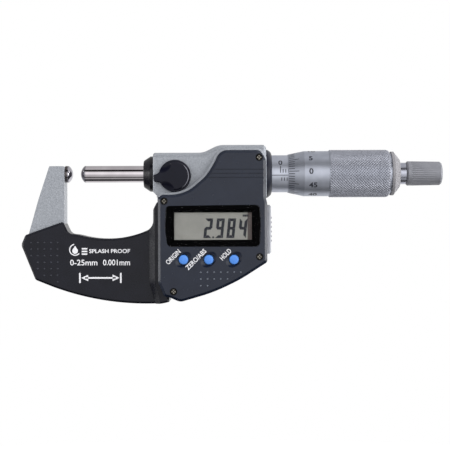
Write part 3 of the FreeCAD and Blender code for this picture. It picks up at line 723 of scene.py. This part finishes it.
def dimension_arrow():
    """Double arrow between two end bars."""
    left, right, middle = 2.9, 18.9, -39.3
    end_width, end_reach = 0.6, 1.9
    tip, barb, barb_reach = 0.8, 3.4, 1.2
    shaft_inset, shaft_half = 2.2, 0.3
    ends = (middle - end_reach, middle + end_reach)
    low, high = middle - barb_reach, middle + barb_reach
    return [
        bar((left, left + end_width), ends),
        bar((right - end_width, right), ends),
        bar((left + shaft_inset, right - shaft_inset), (middle - shaft_half, middle + shaft_half)),
        polygon([(left + tip, middle), (left + barb, low), (left + barb, high)]),
        polygon([(right - tip, middle), (right - barb, high), (right - barb, low)]),
    ]


def grip_printing():
    """Splash pictogram, measuring range and a dimension arrow, all generic."""
    parts = splash_pictogram()
    parts.append(fitted("SPLASH PROOF", width=15.4, height=1.5, x=14.4, z=-29.2, weight=0.02))
    parts.append(fitted("0-25mm", width=10.3, height=2.2, x=4.65, z=-33.5, weight=0.012))
    parts.append(fitted("0.001mm", width=10.2, height=2.2, x=17.0, z=-33.5, weight=0.012))
    parts.extend(dimension_arrow())
    made = on_front(joined("grip_printing", parts), GRIP_FACE - INK_LIFT)
    return piece("grip_printing", made, "frame", PRINT_WHITE)


def key_lettering():
    """Function names on the slant beside the three keys."""
    height, weight, slant = 1.8, 0.012, math.radians(45)
    parts = []
    for text, width, x, z in (
        ("ORIGIN", 6.6, 38.65, -31.3),
        ("ZERO/ABS", 9.7, 47.1, -32.2),
        ("HOLD", 4.8, 58.1, -30.4),
    ):
        flat = fitted(text, width, height, 0, 0, weight)
        parts.append(moved(flat, x, z, slant))
    made = on_front(joined("key_lettering", parts), HOUSING_FACE - INK_LIFT)
    return piece("key_lettering", made, "frame", PRINT_WHITE)


# ---- display digits ---------------------------------------------------------

SEGMENTS = {"2": "ABGED", "9": "ABCDFG", "8": "ABCDEFG", "4": "BCFG"}


def digit(figure, left, foot, width, height):
    """Seven-segment figure, from its lower left corner."""
    thick, gap = 1.06, 0.03
    half = height / 2
    mitre, bevel = gap + thick, gap + thick * 0.4

    def top_bar():
        return [(gap, height), (width - gap, height),
                (width - mitre, height - thick), (mitre, height - thick)]

    def bottom_bar():
        return [(gap, 0), (mitre, thick), (width - mitre, thick), (width - gap, 0)]

    def middle_bar():
        tip, shoulder = gap + thick * 0.15, gap + thick * 0.5
        low, high = half - thick / 2, half + thick / 2
        return [(tip, half), (shoulder, high), (width - shoulder, high),
                (width - tip, half), (width - shoulder, low), (shoulder, low)]

    def upper(outer, inner):
        return [(outer, height - gap), (inner, height - mitre),
                (inner, half + bevel), (outer, half + gap)]

    def lower(outer, inner):
        return [(outer, half - gap), (inner, half - bevel),
                (inner, mitre), (outer, gap)]

    left_side, right_side = (0, thick), (width, width - thick)
    shapes = {
        "A": top_bar(), "B": upper(*right_side), "C": lower(*right_side), "D": bottom_bar(),
        "E": lower(*left_side), "F": upper(*left_side), "G": middle_bar(),
    }
    return [polygon([(left + x, foot + z) for x, z in shapes[letter]]) for letter in SEGMENTS[figure]]


def lcd_digits():
    """The reading with its unit, on the face of the panel."""
    foot, height, width = -24.35, 7.3, 2.95
    lefts = (50.2, 54.55, 58.75, 63.05)
    point_left, point_width, point_height = 53.5, 0.7, 0.6
    lean = math.tan(math.radians(6))
    figures = f"{READING:.3f}".replace(".", "")
    parts = []
    for figure, left in zip(figures, lefts):
        parts.extend(digit(figure, left, foot, width, height))
    parts.append(bar((point_left, point_left + point_width), (foot, foot + point_height)))
    slanted = joined("lcd_digits", parts)
    for vertex in slanted.vertices:
        vertex.co.x += (vertex.co.y - foot - height / 2) * lean
    unit = fitted("mm", width=2.2, height=0.85, x=65.6, z=-16.0, weight=0.07)
    face_y = size_mm("lcd_panel")[0].y
    made = on_front(joined("lcd_digits", [slanted, unit]), face_y - INK_LIFT)
    return piece("lcd_digits", made, "frame", LCD_SEGMENT)


# ---- trim -------------------------------------------------------------------

def window_border():
    """Black border printed behind the clear plate, open over the display."""
    corner, tip, overlap = 0.9, 0.2, 0.3
    low, high = size_mm("display_window")
    left, right = low.x + 0.75, high.x - 0.6
    bottom, top = low.z + 0.15, high.z - 0.15
    middle = (bottom + top) / 2
    mask_low, mask_high = size_mm("display_mask")
    open_left, open_right = mask_low.x + overlap, mask_high.x - overlap
    open_foot, open_top = mask_low.z + overlap, mask_high.z - overlap
    opening = [
        (open_left, open_foot), (open_right, open_foot), (open_right, open_top), (open_left, open_top),
    ]
    outline = [
        (left + corner, bottom), (right - corner, bottom), (right, bottom + corner),
        (high.x - tip, middle), (right, top - corner), (right - corner, top), (left + 0.5, top),
        (left - 0.1, top - corner), (low.x + tip, middle), (left, bottom + corner),
    ]
    points = [(x, z, 0) for x, z in opening + outline]
    # Each side of the opening meets one edge of the outline, with fans of triangles between.
    faces = [
        (0, 4, 5, 1), (1, 5, 6), (1, 6, 7), (1, 7, 8, 2), (2, 8, 9), (2, 9, 10, 3), (3, 10, 11),
        (3, 11, 12), (3, 12, 13, 0), (0, 13, 4),
    ]
    made = on_front(from_faces("window_border", points, faces), low.y + INK_LIFT)
    return piece("window_border", made, "frame", FINISHES["black_print"])


def screw_glints():
    """Painted highlight: bright glints painted on the four lands between the cross slots of each front
    screw.
    """
    inner, outer, half_angle = 0.2, 0.78, 27
    parts = []
    for x, z in ((35.3, -10.6), (38.75, -44.2), (70.65, 5.6), (70.75, -31.3)):
        for middle in (0, 90, 180, 270):
            start, end = middle - half_angle, middle + half_angle
            parts.append(ring_sector(x, z, inner, outer, start, end, steps=8))
    face_y = size_mm("front_cover_screws")[0].y
    made = on_front(joined("screw_glints", parts), face_y - INK_LIFT / 2)
    return piece("screw_glints", made, "frame", SCREW_GLINT)


def clamp_edge():
    """Painted highlight: a bright line along the crown of the clamp knob, on the side away from its
    lever.

    The knob's rim falls back outside the crown, and the line lies on that slope."""
    low, high = size_mm("clamp_stem")
    x, z = (low.x + high.x) / 2, (low.z + high.z) / 2
    face_y = size_mm("clamp_knob")[0].y
    crown_r, slope = 4.9, 0.6 / 0.5
    line_r, widest, blunt_end = 5.14, 0.15, 0.02
    start, end, steps = math.radians(-60), math.radians(52), 32
    points = []
    for step in range(steps + 1):
        share = step / steps
        angle = start + (end - start) * share
        within = max(blunt_end, min(1 - blunt_end, share))
        half_width = widest * math.sqrt(math.sin(math.pi * within))
        for radius in (line_r - half_width, line_r + half_width):
            y = face_y + (radius - crown_r) * slope - INK_LIFT
            points.append((x + radius * math.cos(angle), y, z + radius * math.sin(angle)))
    made = from_faces("clamp_edge", points, strip_faces(steps))
    return piece("clamp_edge", made, "clamp", CLAMP_HIGHLIGHT)


# ---- studio -----------------------------------------------------------------

# Light by elevation, in degrees: 0 is the camera's side, 90 above and -90 below.
SKY = (
    (-180, 0.60), (-150, 0.62), (-118, 0.62), (-110, 0.36), (-105, 0.0), (-86, 0.0), (-78, 0.10),
    (-70, 0.33), (-56, 0.36), (-51, 0.04), (-43, 0.04), (-38, 0.42), (-17, 0.50), (-4, 0.76),
    (4, 0.98), (12, 0.92), (30, 0.76), (36, 0.06), (39, 0.0), (57, 0.0), (62, 0.30), (70, 0.43),
    (90, 0.48), (110, 0.42), (140, 0.44), (180, 0.60),
)
# Light towards the left (-1) and right (+1), as a share of the brightest.
SIDES = (
    (-1, 0.70), (-0.96, 0.55), (-0.90, 0.095), (-0.4, 0.095), (0, 0.125), (0.4, 0.22), (0.90, 0.24),
    (0.96, 0.80), (1, 1.0),
)
BRIGHTEST = 11.2


def calculated(tree, operation, first, second):
    """Output of a Math node; the second input may be a number."""
    made = tree.nodes.new("ShaderNodeMath")
    made.operation = operation
    tree.links.new(first, made.inputs[0])
    if isinstance(second, bpy.types.NodeSocket):
        tree.links.new(second, made.inputs[1])
    else:
        made.inputs[1].default_value = second
    return made.outputs[0]


def brightness_band(tree, value, low, high, stops):
    """Grey ramp over a value that runs from low to high; stops are (value, level)."""
    share = tree.nodes.new("ShaderNodeMapRange")
    share.inputs["From Min"].default_value = low
    share.inputs["From Max"].default_value = high
    tree.links.new(value, share.inputs["Value"])
    ramp = tree.nodes.new("ShaderNodeValToRGB")
    tree.links.new(share.outputs[0], ramp.inputs[0])
    band = ramp.color_ramp
    band.elements.remove(band.elements[1])
    for number, (place, level) in enumerate(stops):
        position = (place - low) / (high - low)
        element = band.elements[0] if number == 0 else band.elements.new(position)
        element.position = position
        element.color = (level, level, level, 1)
    return ramp.outputs[0]


def studio():
    """White to the camera; soft bands of light round the tool for everything else."""
    scene = bpy.context.scene
    scene.view_settings.view_transform = "Standard"
    world = bpy.data.worlds.new("studio")
    scene.world = world
    world.use_nodes = True
    tree = world.node_tree
    tree.nodes.clear()
    link = tree.links.new
    add = tree.nodes.new
    direction = add("ShaderNodeSeparateXYZ")
    link(add("ShaderNodeTexCoord").outputs["Generated"], direction.inputs[0])
    forward = calculated(tree, "MULTIPLY", direction.outputs["Y"], -1)
    elevation = calculated(tree, "ARCTAN2", direction.outputs["Z"], forward)
    degrees = calculated(tree, "MULTIPLY", elevation, 180 / math.pi)
    sideways = brightness_band(tree, direction.outputs["X"], -1, 1, SIDES)
    light = add("ShaderNodeBackground")
    link(brightness_band(tree, degrees, -180, 180, SKY), light.inputs["Color"])
    link(calculated(tree, "MULTIPLY", sideways, BRIGHTEST), light.inputs["Strength"])
    seen = add("ShaderNodeBackground")
    seen.inputs["Color"].default_value = (1, 1, 1, 1)
    choose = add("ShaderNodeMixShader")
    link(add("ShaderNodeLightPath").outputs["Is Camera Ray"], choose.inputs[0])
    link(light.outputs[0], choose.inputs[1])
    link(seen.outputs[0], choose.inputs[2])
    link(choose.outputs[0], add("ShaderNodeOutputWorld").inputs["Surface"])


def soft_light(name, place, target, side, power):
    """Square area light that isn't mirrored in the metal."""
    lamp = bpy.data.lights.new(name, "AREA")
    lamp.shape = "SQUARE"
    lamp.size = side
    lamp.energy = power
    item = bpy.data.objects.new(name, lamp)
    bpy.context.collection.objects.link(item)
    item.location = place
    item.rotation_euler = (Vector(target) - Vector(place)).to_track_quat("-Z", "Y").to_euler()
    item.visible_glossy = False
    return item


def floor():
    """Pale floor well under the tool, which is held up as on a stand."""
    middle_x, level, radius, sides = 0.058, -0.26, 0.85, 24
    points = []
    for side in range(sides):
        angle = side * 2 * math.pi / sides
        points.append((middle_x + radius * math.cos(angle), radius * math.sin(angle), level))
    made = from_faces("pale_floor", points, [tuple(range(sides))])
    item = bpy.data.objects.new("pale_floor", made)
    bpy.context.collection.objects.link(item)
    make = Shader("pale_floor")
    tone = make.blend(make.span(make.noise(40), 0, 1), (0.90, 0.90, 0.90, 1), (0.93, 0.93, 0.93, 1))
    make.put(
        Base_Color=tone, Roughness=0.8, Emission_Color=(1, 1, 1, 1), Emission_Strength=0.5)
    item.visible_diffuse = False
    item.visible_glossy = False
    give(item, make.material)


def camera():
    """Level with the tool, straight in front of it and 0.44 m away."""
    eye = bpy.data.cameras.new("camera")
    eye.lens = 92
    eye.sensor_width = 36
    item = bpy.data.objects.new("camera", eye)
    bpy.context.collection.objects.link(item)
    item.location = (57.9 * MM, -439 * MM, -19.5 * MM)
    item.rotation_euler = (math.radians(90), math.radians(0.15), 0)
    bpy.context.scene.camera = item


dress_nodes()
sleeve_graduation()
thimble_graduation()
knurl_band()
grip_dots()
housing_dots()
grip_printing()
key_lettering()
lcd_digits()
window_border()
screw_glints()
clamp_edge()
studio()
floor()
soft_light("right_panel", (0.60, -0.30, 0.50), target=(0.06, 0, -0.01), side=0.30, power=3.0)
soft_light("left_panel", (-0.50, -0.45, 0.35), target=(0.0, 0, -0.01), side=0.25, power=2.2)
camera()
